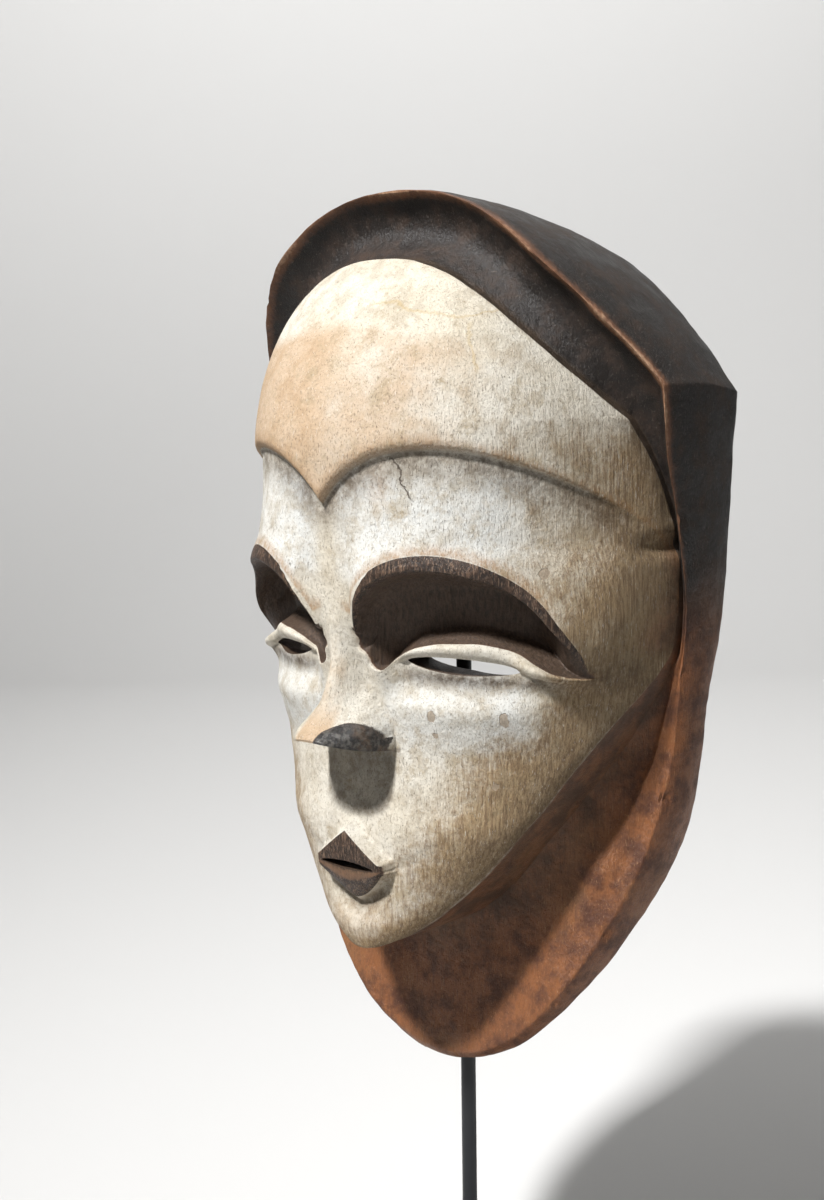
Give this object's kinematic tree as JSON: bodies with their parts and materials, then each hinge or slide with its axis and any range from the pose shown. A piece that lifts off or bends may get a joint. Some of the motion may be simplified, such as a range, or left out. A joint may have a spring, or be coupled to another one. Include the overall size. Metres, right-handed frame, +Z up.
{
  "type": "mask on a display stand",
  "caption": "Carved wooden face mask with a white face in relief, dark hood and hollow back, held up by a round steel rod on a flat square foot.",
  "frame": {"origin": "centre of the foot plate's underside, where the stand meets the surface below", "axes": "+Z up, -Y the way the mask faces, +X the mask's own left"},
  "size_m": [0.2024, 0.1684, 0.471],
  "materials": {
    "mask_wood": "matte white kaolin on the face over brown wood, soot-dark brow lines, dark hood with a worn rim, red-brown collar, bare wood inside",
    "rod_steel": "satin black paint",
    "foot_steel": "satin black paint"
  },
  "bodies": {
    "root": {"mask": "mask_wood", "support_rod": "rod_steel", "foot_plate": "foot_steel"}
  },
  "joints": []
}
